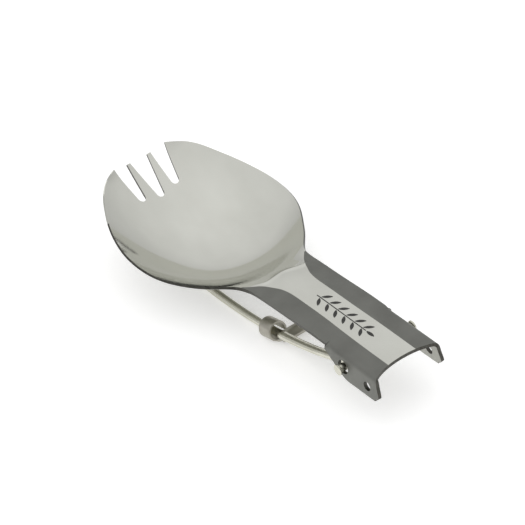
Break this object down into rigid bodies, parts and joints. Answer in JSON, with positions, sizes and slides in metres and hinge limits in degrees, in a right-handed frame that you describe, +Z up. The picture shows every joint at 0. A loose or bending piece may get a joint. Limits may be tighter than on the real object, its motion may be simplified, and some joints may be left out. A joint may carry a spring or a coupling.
{
  "type": "folding spork",
  "caption": "Folding metal spork: a tined bowl on a channel-section shank, a hinged wire handle folded under it, and a slider on the wire that locks the handle open.",
  "frame": {"origin": "centre of the object's footprint, on the surface that the folded spork rests on", "axes": "+X from the tines towards the ears, along the shank; +Y to the left of the shank; +Z up"},
  "size_m": [0.0956, 0.0406, 0.0175],
  "materials": {
    "polished_titanium": "polished bowl and top strip, bead-blasted flanks and ears",
    "wire_titanium": "drawn and tumbled wire",
    "slider_titanium": "satin rolled strip"
  },
  "bodies": {
    "head": {"spork_head": "polished_titanium"},
    "handle": {"wire_handle": "wire_titanium"},
    "slider": {"lock_slider": "slider_titanium"}
  },
  "joints": [
    {"name": "handle_fold", "type": "hinge", "parent": "head", "child": "handle", "pos_m": [0.03605, 0, 0.01062], "axis": [0, -1, 0], "range_deg": [0, 164]},
    {"name": "lock_slide", "type": "slide", "parent": "handle", "child": "slider", "axis": [0.9776, 0, 0.2105], "range_m": [0, 0.0155]}
  ]
}
